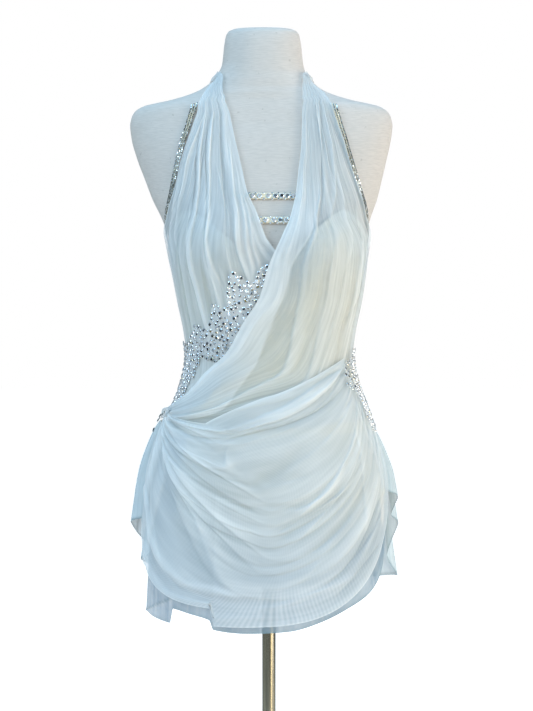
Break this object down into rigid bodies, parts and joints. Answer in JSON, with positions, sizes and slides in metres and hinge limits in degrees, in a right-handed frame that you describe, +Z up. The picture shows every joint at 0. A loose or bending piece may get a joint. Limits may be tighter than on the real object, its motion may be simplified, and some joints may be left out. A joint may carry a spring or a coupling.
{
  "type": "lyrical dance dress on a dress form and stand",
  "caption": "Pale blue-white mesh halter dance dress with rhinestone trim and a draped skirt, worn by a limbless linen dress form on a steel pole stand.",
  "frame": {"origin": "centre of the base disc's underside, on the floor", "axes": "+Z up; the dress faces -Y; +X is the right as seen from the front"},
  "size_m": [0.42, 0.42, 1.504],
  "materials": {
    "form_linen": "off-white linen cover, matte, fine weave with faint flecks",
    "stand_steel": "brushed steel, bright highlight",
    "leotard_stretch": "cream stretch knit, matte",
    "dress_mesh": "pale ice-blue sheer stretch mesh, soft sheen",
    "rhinestones": "clear faceted rhinestones on net, silver backed"
  },
  "bodies": {
    "root": {"form_torso": "form_linen", "stand_pole": "stand_steel", "stand_base": "stand_steel", "leotard": "leotard_stretch", "strap_chest_upper": "rhinestones", "strap_chest_lower": "rhinestones", "strap_armhole_right": "rhinestones", "strap_armhole_left": "rhinestones", "halter_under": "dress_mesh", "halter_wrap": "dress_mesh", "neck_band": "dress_mesh", "applique_front": "rhinestones", "applique_side": "rhinestones", "skirt_under": "dress_mesh", "skirt_over": "dress_mesh", "skirt_back": "dress_mesh", "hip_knot": "dress_mesh"}
  },
  "joints": []
}
